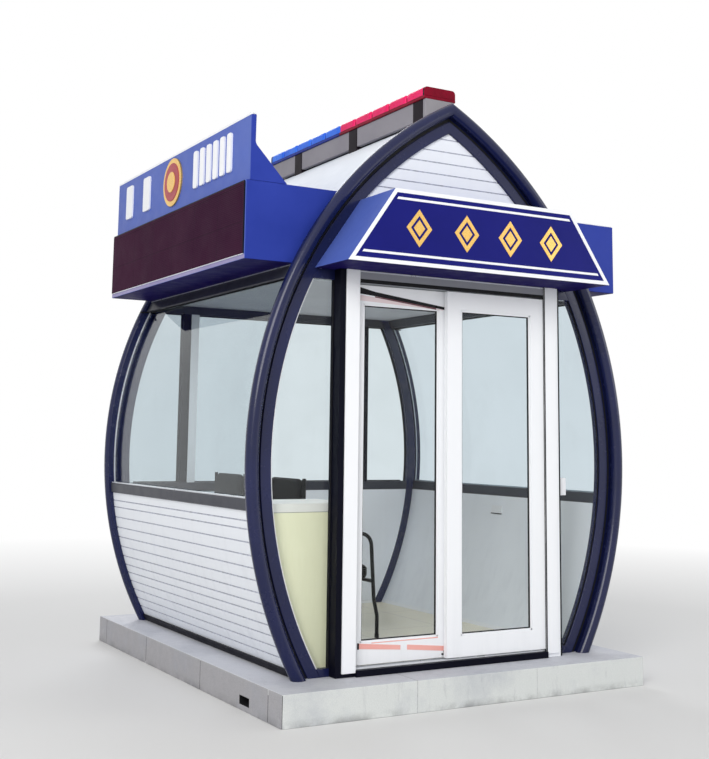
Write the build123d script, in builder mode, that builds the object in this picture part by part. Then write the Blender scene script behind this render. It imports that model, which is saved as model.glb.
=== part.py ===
"""Security guard booth: pointed-arch steel frame, curved boarded walls, glass, a two-leaf
sliding door, sign boxes on three sides and a light bar along the ridge. Lengths in mm."""
import os
from math import atan2, degrees, sqrt
from build123d import *

os.makedirs("parts", exist_ok=True)

# Plinth and ground
plinth_height = 152
plinth_margin = 258
drain_width = 110
drain_height = 40
drain_rise = 28
drain_from_front = 350
drain_depth = 90

# Doorway heights, and the pointed arch: its widest level as a share of the sign's, half its width there
# and its peak over the sign
doorway_height = 1942
header_height = 64
widest_share = 0.5214
arch_half_width = 1115
gable_rise = 896
arch_spacing = 2111

# Arch section, measured from the groove between pipe and band
pipe_radius = 34
pipe_sides = 12
pipe_offset = 41
pipe_forward = 6.5
band_width = 58
groove_width = 13
band_set = 10
band_depth = 50
flange_set = 22
flange_thick = 8
flange_reach = 60

# Heights over the plinth top
floor_thick = 20
bottom_rail = 40
sill_rise = 800
sill_height = 58
head_height = 53
box_step = 19
ceiling_thick = 14

# Curved shell
wall_thick = 49
roof_thick = 38
glass_thick = 8
glass_set = 12
sill_proud = 12
head_proud = 9
pane_thick = 6

# Doorway
sidelight_foot = 49
post_cover_width = 78
post_cover_rise = 20
post_cover_thick = 12
post_front = 50
post_back = 50
post_width = 109
header_back = 30
leaf_thick = 30
leaf_front_set = -50
leaf_rear_set = -12
leaf_clear = 5
meeting_lap = 52
stile_width = 88
leaf_top_rail = 95
leaf_bottom_rail = 105
left_leaf_pocket = 44
track_height = 32
track_front = 68
track_back = 30
runner_height = 8
runner_width = 10
roller_radius = 14
roller_width = 12
roller_inset = 90
roller_gap = 0.3

# Front sign
sign_reach = 335
sign_height = 381
sign_lap = 22
border_width = 20
border_thick = 3
neck_inset = 45

# Side sign boxes
box_proud = 85
box_height = 399
box_end_set = 40
screen_thick = 6
screen_height = 364
screen_lip = 27
screen_end_trim = 14
board_height = 348
board_set = 22
board_top_thick = 27
board_waist = 190
board_waist_depth = 25
board_waist_radius = 40
board_foot_depth = 205

# Light bar along the ridge
bar_length = 1940
bar_width = 210
bar_height = 52
bar_blocks = 5
block_gap = 6
block_bevel = 12
bar_front_set = 105
bar_stand = 105
bar_rail_thick = 18
bar_panel_drop = 27
bar_panel_gap = 8
bar_panel_width = 190
bar_bracket_width = 196
bar_bracket_length = 98
bar_brackets = (78, 808, 1538)

# Furniture
desk_top_rise = 830
desk_top_thick = 44
desk_board = 18
desk_front_gap = 15
desk_depth = 390
desk_from_foot = 291
desk_wall_gap = 7
chair_width = 468
chair_depth = 500
chair_seat_rise = 330
chair_arm_rise = 590
chair_back_rise = 905
chair_back_height = 260
chair_pad = 85
chair_back_pad = 45
chair_tube = 11
chair_tube_sides = 8
chair_bend = 70
chair_lean = 24
chair_splay = 22
chair_splay_rise = 215
chair_splay_run = 90
chair_spots = ((-230, 1008), (-230, 1796))

# Small box beside the doorway
control_width = 66
control_height = 96
control_depth = 40
control_rise = 855

# Levels worked out from the sizes above, over the plinth top
sign_rise = doorway_height + header_height
head_rise = sign_rise - head_height
box_rise = sign_rise + box_step
arch_widest_rise = widest_share * sign_rise
arch_peak_rise = sign_rise + gable_rise

# The arch is two equal arcs, struck from centres past the middle of the booth
arch_over_widest = arch_peak_rise - arch_widest_rise
arch_radius = (arch_half_width + arch_over_widest**2 / arch_half_width) / 2
arch_centre_x = arch_radius - arch_half_width
arch_z = plinth_height + arch_widest_rise
floor_top = plinth_height + floor_thick


def half_width(offset, rise):
    """Half width, at this rise over the plinth top, of the outline this far outside the groove line."""
    return sqrt((arch_radius + offset)**2 - (rise - arch_widest_rise)**2) - arch_centre_x


arch_foot = half_width(0, 0)
plinth_width = 2 * (arch_foot + plinth_margin)
overall_depth = sign_reach + border_thick + arch_spacing + plinth_margin
front_y = sign_reach + border_thick - overall_depth / 2
rear_y = front_y + arch_spacing
shell_set = flange_set + flange_thick
shell_front = front_y + shell_set
shell_rear = rear_y - shell_set
band_outer = -groove_width
band_inner = -groove_width - band_width
wall_outer = band_outer + wall_thick
reach = arch_radius
half_door = half_width(band_inner, 0) - sidelight_foot - post_width
doorway_width = 2 * half_door
leaf_width = half_door - leaf_clear + meeting_lap
sign_bottom_width = 2 * (half_width(band_inner, sign_rise) + sign_lap)
sign_top_width = 2 * (half_width(band_inner, sign_rise + sign_height) + sign_lap)
box_reach = arch_half_width + box_proud
desk_right = desk_from_foot - arch_foot
band_back = band_set + band_depth


def level(rise):
    """Height over the ground of something this far over the plinth top."""
    return plinth_height + rise


def facing(y):
    """Upright plane that faces the front, at depth y, with heights from the ground."""
    return Plane((0, y, 0), x_dir=(1, 0, 0), z_dir=(0, -1, 0))


def pointed(offset, mode=Mode.ADD):
    """Pointed arch outline, this far outside the groove line."""
    with BuildSketch(mode=Mode.PRIVATE) as lens:
        with Locations((arch_centre_x, arch_z)):
            Circle(arch_radius + offset)
        with Locations((-arch_centre_x, arch_z)):
            Circle(arch_radius + offset, mode=Mode.INTERSECT)
    add(lens.sketch, mode=mode)


def arch_slab(y_low, y_high, low, high, outer, inner=None, left=-reach, right=reach):
    """Upright slab inside one pointed outline and outside another, cut off at two levels."""
    with BuildPart() as slab:
        with BuildSketch(facing(y_high)):
            pointed(outer)
            if inner is not None:
                pointed(inner, Mode.SUBTRACT)
            with Locations(((left + right) / 2, (low + high) / 2)):
                Rectangle(right - left, high - low, mode=Mode.INTERSECT)
        extrude(amount=y_high - y_low)
    return slab.part


def block(x_low, x_high, y_low, y_high, z_low, z_high):
    """Plain block between two corners."""
    with BuildPart() as piece:
        with Locations((x_low, y_low, z_low)):
            Box(x_high - x_low, y_high - y_low, z_high - z_low, align=(Align.MIN, Align.MIN, Align.MIN))
    return piece.part


def bent_pipe(y):
    """Round pipe bent to both arcs of the arch, mitred where they meet."""
    line_x = arch_centre_x - arch_radius - pipe_offset
    with BuildPart() as pipe:
        with BuildSketch(Plane((0, 0, arch_z))):
            with Locations((line_x, y)):
                RegularPolygon(pipe_radius, pipe_sides)
        revolve(axis=Axis((arch_centre_x, y, arch_z), (0, 1, 0)), revolution_arc=360)
        with Locations((0, y, plinth_height)):
            Box(reach, 4 * pipe_radius, 2 * reach, align=(Align.MAX, Align.CENTER, Align.MIN),
                mode=Mode.INTERSECT)
        mirror(about=Plane.YZ)
    return pipe.part


def arch_frame(plane_y, inward):
    """One arch: flat inner band, flange behind the groove, and the bent pipe outside it."""
    def ys(near, far):
        return sorted((plane_y + inward * near, plane_y + inward * far))
    with BuildPart() as frame:
        add(arch_slab(*ys(band_set, band_back), plinth_height, 2 * reach, band_outer, band_inner))
        add(arch_slab(*ys(flange_set, shell_set), plinth_height, 2 * reach, flange_reach, band_outer - 1))
        add(bent_pipe(plane_y - inward * pipe_forward))
    return frame.part


# Plinth with the drain hole low on its left side
with BuildPart() as plinth:
    with Locations((0, (front_y + rear_y) / 2, 0)):
        Box(plinth_width, arch_spacing + 2 * plinth_margin, plinth_height,
            align=(Align.CENTER, Align.CENTER, Align.MIN))
    with Locations((-plinth_width / 2, front_y - plinth_margin + drain_from_front, drain_rise)):
        Box(2 * drain_depth, drain_width, drain_height,
            align=(Align.CENTER, Align.MIN, Align.MIN), mode=Mode.SUBTRACT)

# Floor and ceiling between the curved walls
with BuildPart() as floor:
    add(arch_slab(front_y + band_back, rear_y - band_back, plinth_height, floor_top, band_outer))
with BuildPart() as ceiling:
    add(arch_slab(front_y + band_back, rear_y - band_back, level(sign_rise),
                  level(sign_rise + ceiling_thick), band_outer))

# Front and rear arches
with BuildPart() as front_arch:
    add(arch_frame(front_y, 1))
with BuildPart() as rear_arch:
    add(arch_frame(rear_y, -1))

# Roof skin over both slopes
with BuildPart() as roof:
    add(arch_slab(shell_front, shell_rear, level(box_rise), 2 * reach, roof_thick, 0))


def side_strip(low, high, outer, inner):
    """Curved strip of a side wall on the left, with its twin on the right."""
    left = arch_slab(shell_front, shell_rear, low, high, outer, inner, right=-arch_foot / 2)
    right = arch_slab(shell_front, shell_rear, low, high, outer, inner, left=arch_foot / 2)
    return left, right


# Side walls, rails and curved glass
wall_pair = side_strip(level(bottom_rail), level(sill_rise), wall_outer, band_outer)
with BuildPart() as left_wall:
    add(wall_pair[0])
with BuildPart() as right_wall:
    add(wall_pair[1])
with BuildPart() as side_bottom_rails:
    add(side_strip(plinth_height, level(bottom_rail), wall_outer + sill_proud, band_outer))
with BuildPart() as side_sill_rails:
    add(side_strip(level(sill_rise), level(sill_rise + sill_height), wall_outer + sill_proud, band_outer))
with BuildPart() as side_glass:
    add(side_strip(level(sill_rise + sill_height), level(head_rise), glass_set + glass_thick, glass_set))
with BuildPart() as side_head_rails:
    add(side_strip(level(head_rise), level(box_rise), wall_outer + head_proud, band_outer))

# Door posts: the left one is rebated for the leaf in the rear track
post_outer = half_door + post_width
cover_y = front_y - post_front
with BuildPart() as door_posts:
    with BuildSketch(Plane((0, 0, plinth_height))):
        with Locations((0, front_y + (post_back - post_front) / 2)):
            Rectangle(2 * post_outer, post_front + post_back)
            Rectangle(2 * half_door, post_front + post_back, mode=Mode.SUBTRACT)
        pocket_x = -half_door - left_leaf_pocket
        pocket_front = front_y + leaf_rear_set - leaf_clear
        with Locations((pocket_x, pocket_front)):
            Rectangle(left_leaf_pocket, front_y + post_back - pocket_front,
                      align=(Align.MIN, Align.MIN), mode=Mode.SUBTRACT)
    extrude(amount=sign_rise)
with BuildPart() as post_covers:
    with Locations((-half_door, cover_y, level(post_cover_rise))):
        Box(post_cover_width, post_cover_thick, sign_rise - post_cover_rise,
            align=(Align.MAX, Align.MAX, Align.MIN))
    mirror(about=Plane.YZ)

# Header over the doorway and the track under it, with a runner for each leaf
with BuildPart() as door_header:
    add(block(-half_door, half_door, cover_y, front_y + header_back,
              level(doorway_height), level(sign_rise)))
front_leaf_y = front_y + leaf_front_set + leaf_thick / 2
rear_leaf_y = front_y + leaf_rear_set + leaf_thick / 2
with BuildPart() as door_track:
    add(block(-half_door, half_door, front_y - track_front, front_y + track_back,
              plinth_height, level(track_height)))
    with Locations((0, front_leaf_y, level(track_height)), (0, rear_leaf_y, level(track_height))):
        Box(doorway_width, runner_width, runner_height, align=(Align.CENTER, Align.CENTER, Align.MIN))


def leaf_frame(x_left, y_front):
    """Leaf of four rails and stiles, with two rollers that stand on the runner."""
    z_low = level(track_height + runner_height + leaf_clear)
    z_high = level(doorway_height - leaf_clear)
    y_mid = y_front + leaf_thick / 2
    with BuildPart() as frame:
        with BuildSketch(facing(y_front + leaf_thick)):
            with Locations((x_left, z_low)):
                Rectangle(leaf_width, z_high - z_low, align=(Align.MIN, Align.MIN))
            with Locations((x_left + stile_width, z_low + leaf_bottom_rail)):
                Rectangle(leaf_width - 2 * stile_width, z_high - z_low - leaf_bottom_rail - leaf_top_rail,
                          align=(Align.MIN, Align.MIN), mode=Mode.SUBTRACT)
        extrude(amount=leaf_thick)
        wheel_z = level(track_height + runner_height) + roller_gap + roller_radius
        for x in (x_left + roller_inset, x_left + leaf_width - roller_inset):
            with Locations(Location((x, y_mid, wheel_z), (90, 0, 0))):
                Cylinder(roller_radius, roller_width)
    return frame.part


def leaf_pane(x_left, y_front):
    """Glass pane that fills the leaf's opening."""
    z_low = level(track_height + runner_height + leaf_clear) + leaf_bottom_rail
    z_high = level(doorway_height - leaf_clear) - leaf_top_rail
    y_mid = y_front + leaf_thick / 2
    return block(x_left + stile_width, x_left + leaf_width - stile_width,
                 y_mid - pane_thick / 2, y_mid + pane_thick / 2, z_low, z_high)


# Sliding door: right leaf in the front track, left leaf in the rear one
right_leaf_x = half_door - leaf_clear - leaf_width
left_leaf_x = -half_door - left_leaf_pocket + leaf_clear
with BuildPart() as right_door_frame:
    add(leaf_frame(right_leaf_x, front_y + leaf_front_set))
with BuildPart() as right_door_glass:
    add(leaf_pane(right_leaf_x, front_y + leaf_front_set))
with BuildPart() as left_door_frame:
    add(leaf_frame(left_leaf_x, front_y + leaf_rear_set))
with BuildPart() as left_door_glass:
    add(leaf_pane(left_leaf_x, front_y + leaf_rear_set))

# Sidelights between the posts and the front arch
rail_ys = (front_y + band_set, front_y + band_back - band_set)
pane_ys = (front_y + flange_set, front_y + flange_set + pane_thick)
with BuildPart() as sidelight_rails:
    for low, high in ((0, bottom_rail), (head_rise, sign_rise)):
        add(arch_slab(*rail_ys, level(low), level(high), band_inner, right=-post_outer))
        add(arch_slab(*rail_ys, level(low), level(high), band_inner, left=post_outer))
with BuildPart() as sidelight_glass:
    add(arch_slab(*pane_ys, level(bottom_rail), level(head_rise), band_inner, right=-post_outer))
    add(arch_slab(*pane_ys, level(bottom_rail), level(head_rise), band_inner, left=post_outer))

# Gable panels in both arch heads
gable_ys = (flange_set, band_back)
with BuildPart() as front_gable:
    add(arch_slab(front_y + gable_ys[0], front_y + gable_ys[1], level(sign_rise), 2 * reach, band_inner))
with BuildPart() as rear_gable:
    add(arch_slab(rear_y - gable_ys[1], rear_y - gable_ys[0], level(sign_rise), 2 * reach, band_inner))

# Rear wall: boarded lower panel, rails, posts and three panes
rear_wall_ys = (rear_y - band_back, rear_y - flange_set)
rear_rail_ys = (rear_y - band_back, rear_y - band_set)
rear_pane_ys = (rear_y - flange_set - pane_thick, rear_y - flange_set)
with BuildPart() as rear_wall:
    add(arch_slab(*rear_wall_ys, level(bottom_rail), level(sill_rise), band_inner))
with BuildPart() as rear_rails:
    for low, high in ((0, bottom_rail), (sill_rise, sill_rise + sill_height), (head_rise, sign_rise)):
        add(arch_slab(*rear_rail_ys, level(low), level(high), band_inner))
sill_top = level(sill_rise + sill_height)
with BuildPart() as rear_posts:
    add(block(-post_outer, -half_door, *rear_rail_ys, sill_top, level(head_rise)))
    mirror(about=Plane.YZ)
with BuildPart() as rear_glass:
    add(arch_slab(*rear_pane_ys, sill_top, level(head_rise), band_inner, right=-post_outer))
    add(arch_slab(*rear_pane_ys, sill_top, level(head_rise), band_inner, left=post_outer))
    add(block(-half_door, half_door, *rear_pane_ys, sill_top, level(head_rise)))

# Front sign: a trapezoid box that stands out over the door
sign_slope = degrees(atan2(sign_height, (sign_bottom_width - sign_top_width) / 2))
sign_middle = level(sign_rise) + sign_height / 2
sign_face = front_y - sign_reach
with BuildPart() as front_sign:
    with BuildSketch(facing(front_y + band_set)):
        with Locations((0, sign_middle)):
            Trapezoid(sign_bottom_width, sign_height, sign_slope)
    extrude(amount=sign_reach + band_set)
    with BuildSketch(facing(front_y + flange_set)):
        with Locations((0, sign_middle)):
            Trapezoid(sign_bottom_width - 2 * neck_inset, sign_height, sign_slope)
    extrude(amount=flange_set - band_set)
with BuildPart() as front_sign_border:
    with BuildSketch(facing(sign_face)) as border:
        with Locations((0, sign_middle)):
            Trapezoid(sign_bottom_width, sign_height, sign_slope)
        offset(amount=-border_width, kind=Kind.INTERSECTION, mode=Mode.SUBTRACT)
    extrude(amount=border_thick)

# Side signs on the left: box, screen and the board that stands on the box
box_ys = (front_y + box_end_set, rear_y - box_end_set)
box_low = level(box_rise)
box_top = level(box_rise + box_height)
with BuildPart() as left_sign_box:
    with BuildSketch(facing(box_ys[1])):
        with Locations((-box_reach, box_low)):
            Rectangle(box_reach - arch_foot / 2, box_height, align=(Align.MIN, Align.MIN))
        pointed(roof_thick, Mode.SUBTRACT)
    extrude(amount=box_ys[1] - box_ys[0])
with BuildPart() as left_screen:
    add(block(-box_reach - screen_thick, -box_reach, box_ys[0] + screen_end_trim, box_ys[1] - screen_end_trim,
              box_low + screen_lip, box_low + screen_lip + screen_height))
with BuildPart() as left_signboard:
    board_face = -box_reach + board_set
    board_top = box_top + board_height
    with BuildSketch(facing(box_ys[1])) as board:
        with BuildLine():
            waist = (board_face + board_waist_depth, box_top + board_waist)
            Polyline((board_face, box_top), (board_face, board_top), (board_face + board_top_thick, board_top),
                     waist, (board_face + board_foot_depth, box_top), close=True)
        make_face()
        fillet(board.vertices().sort_by_distance(waist)[0], board_waist_radius)
    extrude(amount=box_ys[1] - box_ys[0])

# Side signs on the right, mirrored
with BuildPart() as right_sign_box:
    mirror(left_sign_box.part, about=Plane.YZ)
with BuildPart() as right_screen:
    mirror(left_screen.part, about=Plane.YZ)
with BuildPart() as right_signboard:
    mirror(left_signboard.part, about=Plane.YZ)

# Light bar: a row of blocks on a rail, held over the ridge by brackets with panels between
bar_y = front_y + bar_front_set
roof_peak = arch_z + sqrt((arch_radius + roof_thick)**2 - arch_centre_x**2)
bar_low = roof_peak + bar_stand
block_pitch = bar_length / (2 * bar_blocks)


def bar_block_row(start):
    """Half the row of lamp blocks, from this far along the bar."""
    with BuildPart() as row:
        with Locations([(0, bar_y + start + (i + 0.5) * block_pitch, bar_low) for i in range(bar_blocks)]):
            Box(bar_width, block_pitch - block_gap, bar_height, align=(Align.CENTER, Align.CENTER, Align.MIN))
        chamfer(row.edges().filter_by(Axis.Y).group_by(Axis.Z)[-1], block_bevel)
    return row.part


with BuildPart() as light_bar_red:
    add(bar_block_row(0))
with BuildPart() as light_bar_blue:
    add(bar_block_row(bar_length / 2))
rail_low = bar_low - bar_rail_thick
with BuildPart() as light_bar_rail:
    add(block(-bar_width / 2, bar_width / 2, bar_y, bar_y + bar_length, rail_low, bar_low))
panel_low = roof_peak - bar_panel_drop
half_bracket = bar_bracket_length / 2
with BuildPart() as light_bar_brackets:
    with Locations([(0, bar_y + along, rail_low) for along in bar_brackets]):
        Box(bar_bracket_width, bar_bracket_length, rail_low - roof_peak + bar_bracket_width / 2,
            align=(Align.CENTER, Align.CENTER, Align.MAX))
    add(arch_slab(bar_y, bar_y + bar_length, plinth_height, 2 * reach, roof_thick), mode=Mode.SUBTRACT)
with BuildPart() as light_bar_panels:
    ends = [0] + [along + side for along in bar_brackets for side in (-half_bracket, half_bracket)]
    ends.append(bar_length)
    for start, stop in zip(ends[::2], ends[1::2]):
        add(block(-bar_panel_width / 2, bar_panel_width / 2, bar_y + start, bar_y + stop, panel_low, rail_low))
    add(arch_slab(bar_y, bar_y + bar_length, plinth_height, 2 * reach, roof_thick + bar_panel_gap),
        mode=Mode.SUBTRACT)

# Desk fitted into the front left corner
desk_y = front_y + band_back + desk_front_gap
desk_top_low = level(desk_top_rise) - desk_top_thick
desk_edge = band_outer - desk_wall_gap
with BuildPart() as desk:
    add(arch_slab(desk_y, desk_y + desk_board, floor_top, desk_top_low, desk_edge, right=desk_right))
    add(arch_slab(desk_y, desk_y + desk_depth, desk_top_low, level(desk_top_rise), desk_edge, right=desk_right))
    add(block(desk_right - desk_board, desk_right, desk_y, desk_y + desk_depth, floor_top, desk_top_low))


chair_back_x = -chair_depth / 2 + chair_back_pad / 2
chair_foot_x = chair_depth / 2 + chair_tube
chair_front_x = chair_foot_x - chair_splay
chair_half = chair_width / 2 - chair_tube
chair_inner = chair_width - 4 * chair_tube
seat_z = floor_top + chair_seat_rise
arm_z = floor_top + chair_arm_rise
seat_tube_z = seat_z - chair_tube


def tube_section():
    """Outline of a chair tube, with flats where pads and cross tubes meet it."""
    with BuildSketch() as outline:
        RegularPolygon(chair_tube, chair_tube_sides, major_radius=False, rotation=180 / chair_tube_sides)
    return outline.sketch


def chair_pads():
    """Seat and back pads of a chair that faces right, centred on the origin."""
    with BuildPart() as pads:
        with Locations((-chair_depth / 2, 0, floor_top + chair_back_rise)):
            Box(chair_back_pad, chair_inner, chair_back_height, align=(Align.MIN, Align.CENTER, Align.MAX))
        with Locations((chair_back_pad - chair_depth / 2, 0, seat_z)):
            Box(chair_depth - chair_back_pad - chair_splay, chair_inner, chair_pad,
                align=(Align.MIN, Align.CENTER, Align.MIN))
    return pads.part


def chair_frame():
    """Two bent front legs with arms, two back legs, and the cross tubes under the seat."""
    arm_x = chair_front_x - chair_lean
    splay_z = floor_top + chair_splay_rise
    leg_x = chair_front_x - chair_lean * (seat_tube_z - splay_z) / (arm_z - splay_z)
    with BuildPart() as frame:
        with BuildLine(Plane.XZ.offset(chair_half)) as side:
            Polyline((chair_foot_x, floor_top), (chair_foot_x, splay_z - chair_splay_run),
                     (chair_front_x, splay_z))
            FilletPolyline((chair_front_x, splay_z), (arm_x, arm_z), (0, arm_z), radius=chair_bend)
        with BuildSketch(Plane(side.line @ 0, x_dir=(1, 0, 0), z_dir=(0, 0, 1))):
            add(tube_section())
        sweep(transition=Transition.RIGHT)
        with BuildSketch(Plane((0, -chair_half, arm_z), x_dir=(0, 1, 0), z_dir=(-1, 0, 0))):
            add(tube_section())
        extrude(amount=-chair_back_x)
        with BuildSketch(Plane((chair_back_x, -chair_half, floor_top))):
            add(tube_section())
        extrude(amount=chair_back_rise)
        mirror(about=Plane.XZ)
        for x in (chair_back_x, leg_x):
            with BuildSketch(Plane((x, chair_half, seat_tube_z), x_dir=(1, 0, 0), z_dir=(0, -1, 0))):
                add(tube_section())
            extrude(amount=2 * chair_half)
    return frame.part


# Two tube chairs in a row that face right
chair_places = [Location((x, front_y + y, 0)) for x, y in chair_spots]
with BuildPart() as chair_pads_all:
    with Locations(chair_places):
        add(chair_pads())
with BuildPart() as chair_frames:
    with Locations(chair_places):
        add(chair_frame())

# Small control box on the right sidelight, against the post
with BuildPart() as control_box:
    add(block(post_outer, post_outer + control_width, pane_ys[0] - control_depth, pane_ys[0],
              level(control_rise), level(control_rise + control_height)))

pieces = {
    "plinth": plinth, "floor": floor, "ceiling": ceiling, "front_arch": front_arch, "rear_arch": rear_arch,
    "roof": roof, "left_wall": left_wall, "right_wall": right_wall, "side_bottom_rails": side_bottom_rails,
    "side_sill_rails": side_sill_rails, "side_glass": side_glass, "side_head_rails": side_head_rails,
    "door_posts": door_posts, "post_covers": post_covers, "door_header": door_header,
    "door_track": door_track, "right_door_frame": right_door_frame, "right_door_glass": right_door_glass,
    "left_door_frame": left_door_frame, "left_door_glass": left_door_glass,
    "sidelight_rails": sidelight_rails, "sidelight_glass": sidelight_glass, "front_gable": front_gable,
    "rear_gable": rear_gable, "rear_wall": rear_wall, "rear_rails": rear_rails, "rear_posts": rear_posts,
    "rear_glass": rear_glass, "front_sign": front_sign, "front_sign_border": front_sign_border,
    "left_sign_box": left_sign_box, "left_screen": left_screen, "left_signboard": left_signboard,
    "right_sign_box": right_sign_box, "right_screen": right_screen, "right_signboard": right_signboard,
    "light_bar_red": light_bar_red, "light_bar_blue": light_bar_blue, "light_bar_rail": light_bar_rail,
    "light_bar_brackets": light_bar_brackets, "light_bar_panels": light_bar_panels, "desk": desk,
    "chair_pads": chair_pads_all, "chair_frames": chair_frames, "control_box": control_box,
}
for name, piece in pieces.items():
    piece.part.label = name
    export_step(piece.part, f"parts/{name}.step")
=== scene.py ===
"""Security guard booth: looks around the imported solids. Metres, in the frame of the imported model."""
import math

import bmesh
import bpy
from mathutils import Matrix, Vector


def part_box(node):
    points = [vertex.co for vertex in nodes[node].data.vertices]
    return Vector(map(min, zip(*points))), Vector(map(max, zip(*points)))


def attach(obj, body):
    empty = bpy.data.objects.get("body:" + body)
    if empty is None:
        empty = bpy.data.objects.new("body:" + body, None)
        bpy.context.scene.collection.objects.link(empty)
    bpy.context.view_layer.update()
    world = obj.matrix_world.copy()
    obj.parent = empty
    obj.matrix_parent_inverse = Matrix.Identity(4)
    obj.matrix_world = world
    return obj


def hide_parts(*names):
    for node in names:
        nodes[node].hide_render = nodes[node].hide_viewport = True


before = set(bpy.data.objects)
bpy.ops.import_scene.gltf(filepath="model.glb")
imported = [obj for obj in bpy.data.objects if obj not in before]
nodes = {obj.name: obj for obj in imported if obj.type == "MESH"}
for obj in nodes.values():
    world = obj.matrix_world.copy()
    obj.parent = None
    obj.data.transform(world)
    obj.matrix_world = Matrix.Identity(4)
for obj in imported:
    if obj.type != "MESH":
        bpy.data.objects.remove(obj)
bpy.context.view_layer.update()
scene = bpy.context.scene

# Sizes shared with the solids
PLINTH_TOP = 0.152
ARCH_HALF = 1.115
SIGN_RISE = 2.006
WIDEST_RISE = 0.5214 * SIGN_RISE
PEAK_RISE = SIGN_RISE + 0.896
RADIUS = (ARCH_HALF + (PEAK_RISE - WIDEST_RISE) ** 2 / ARCH_HALF) / 2
CENTRE_X = RADIUS - ARCH_HALF
FRONT_Y = -1.0155
REAR_Y = 1.0955
SHELL_SET = 0.030
FACE_SET = 0.022
BAND_DEPTH = 0.060
SHELL_FRONT = FRONT_Y + SHELL_SET
SHELL_REAR = REAR_Y - SHELL_SET
BAND_OUTER = -0.013
BAND_INNER = -0.071
PIPE_OFFSET = 0.041
PIPE_RADIUS = 0.034
PIPE_PROUD = 0.0065
GABLE_TOP = WIDEST_RISE + math.sqrt((RADIUS + BAND_INNER) ** 2 - CENTRE_X ** 2) - 0.001
WALL_OUTER = 0.036
BOTTOM_RAIL = 0.040
SILL_RISE = 0.800
SILL_TOP = 0.858
HEAD_RISE = 1.953
BOX_RISE = 2.025
ROOF_THICK = 0.038
HALF_DOOR = 0.5959
POST_OUTER = 0.7049
SIDE_SEAMS = (0.092, 0.145, 0.198, 0.251, 0.304, 0.352, 0.406, 0.465, 0.524, 0.584, 0.647, 0.710, 0.751)
GABLE_SEAMS = (2.105, 2.162, 2.220, 2.278, 2.345, 2.474, 2.524, 2.586, 2.650, 2.715, 2.785)
CURVE_STEP = 0.030
GROOVE_HALF = 0.0035
GROOVE_DEPTH = 0.0045
GROOVE_SLOPE = 0.0015
BEAD = 0.007
BEAD_PROUD = 0.004


def rgb(*values):
    """Linear colour from the 0 to 255 values of a colour picker."""
    shares = [value / 255 for value in values]
    return tuple(v / 12.92 if v <= 0.04045 else ((v + 0.055) / 1.055) ** 2.4 for v in shares) + (1.0,)


def arc_x(offset, rise):
    """Half width, at a rise over the plinth top, of the outline this far outside the groove line."""
    return math.sqrt((RADIUS + offset) ** 2 - (rise - WIDEST_RISE) ** 2) - CENTRE_X


class Nodes:
    """A node tree, with short calls for making and linking nodes."""

    def __init__(self, tree):
        self.tree = tree

    def feed(self, socket, value):
        """Links a socket to another one, or gives it a value."""
        if isinstance(value, bpy.types.NodeSocket):
            self.tree.links.new(value, socket)
        else:
            socket.default_value = value

    def node(self, kind, inputs=None, **settings):
        made = self.tree.nodes.new(kind)
        for key, value in settings.items():
            setattr(made, key, value)
        for key, value in (inputs or {}).items():
            self.feed(made.inputs[key], value)
        return made

    def span(self, value, low=0.35, high=0.65, out_low=0.0, out_high=1.0):
        inputs = {"Value": value, "From Min": low, "From Max": high, "To Min": out_low, "To Max": out_high}
        return self.node("ShaderNodeMapRange", inputs).outputs["Result"]

    def math(self, operation, a, b=0.5):
        return self.node("ShaderNodeMath", {0: a, 1: b}, operation=operation).outputs["Value"]

    def seen(self):
        """1 for rays that show a surface in the picture, 0 for rays that only carry light."""
        rays = self.node("ShaderNodeLightPath").outputs
        direct = self.math("MAXIMUM", rays["Is Camera Ray"], rays["Is Glossy Ray"])
        return self.math("MAXIMUM", direct, rays["Is Transmission Ray"])


class Shader(Nodes):
    """A material's node tree, with short calls for what the finishes share."""

    def __init__(self, name, gloss=0.5, **values):
        self.material = bpy.data.materials.new(name)
        self.material.use_nodes = True
        super().__init__(self.material.node_tree)
        self.bsdf = self.tree.nodes["Principled BSDF"]
        self.place = self.node("ShaderNodeTexCoord").outputs["Object"]
        self.set("Specular IOR Level", gloss)
        for key, value in values.items():
            self.set(key.replace("_", " "), value)

    def set(self, name, value):
        self.feed(self.bsdf.inputs[name], value)

    def colour(self, value):
        self.set("Base Color", value)

    def stretched(self, *scale):
        return self.node("ShaderNodeMapping", {"Vector": self.place, "Scale": scale}).outputs["Vector"]

    def noise(self, scale, detail=4, roughness=0.55, vector=None, distortion=0):
        inputs = {"Vector": vector or self.place, "Scale": scale, "Detail": detail,
                  "Roughness": roughness, "Distortion": distortion}
        return self.node("ShaderNodeTexNoise", inputs).outputs["Fac"]

    def mix(self, factor, a, b):
        return self.node("ShaderNodeMix", {0: factor, 6: a, 7: b}, data_type="RGBA").outputs[2]

    def stain(self, base, amount, share, colour):
        """A colour laid over a base by this share of an amount."""
        return self.mix(self.math("MULTIPLY", amount, share), base, colour)

    def axis(self, name, place=None):
        return self.node("ShaderNodeSeparateXYZ", {"Vector": place or self.place}).outputs[name]

    def rough(self, scale, detail, low, high):
        """Roughness that drifts between two values."""
        self.set("Roughness", self.span(self.noise(scale, detail), 0.3, 0.7, low, high))

    def bump(self, height, distance, strength=1.0):
        inputs = {"Height": height, "Distance": distance, "Strength": strength}
        self.set("Normal", self.node("ShaderNodeBump", inputs).outputs["Normal"])

    def blend(self, share, other):
        """Shows another shader in place of the material's own, by a share."""
        inputs = {"Fac": share, 1: self.bsdf.outputs["BSDF"], 2: other.outputs[0]}
        mixed = self.node("ShaderNodeMixShader", inputs).outputs["Shader"]
        self.feed(self.tree.nodes["Material Output"].inputs["Surface"], mixed)


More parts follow.
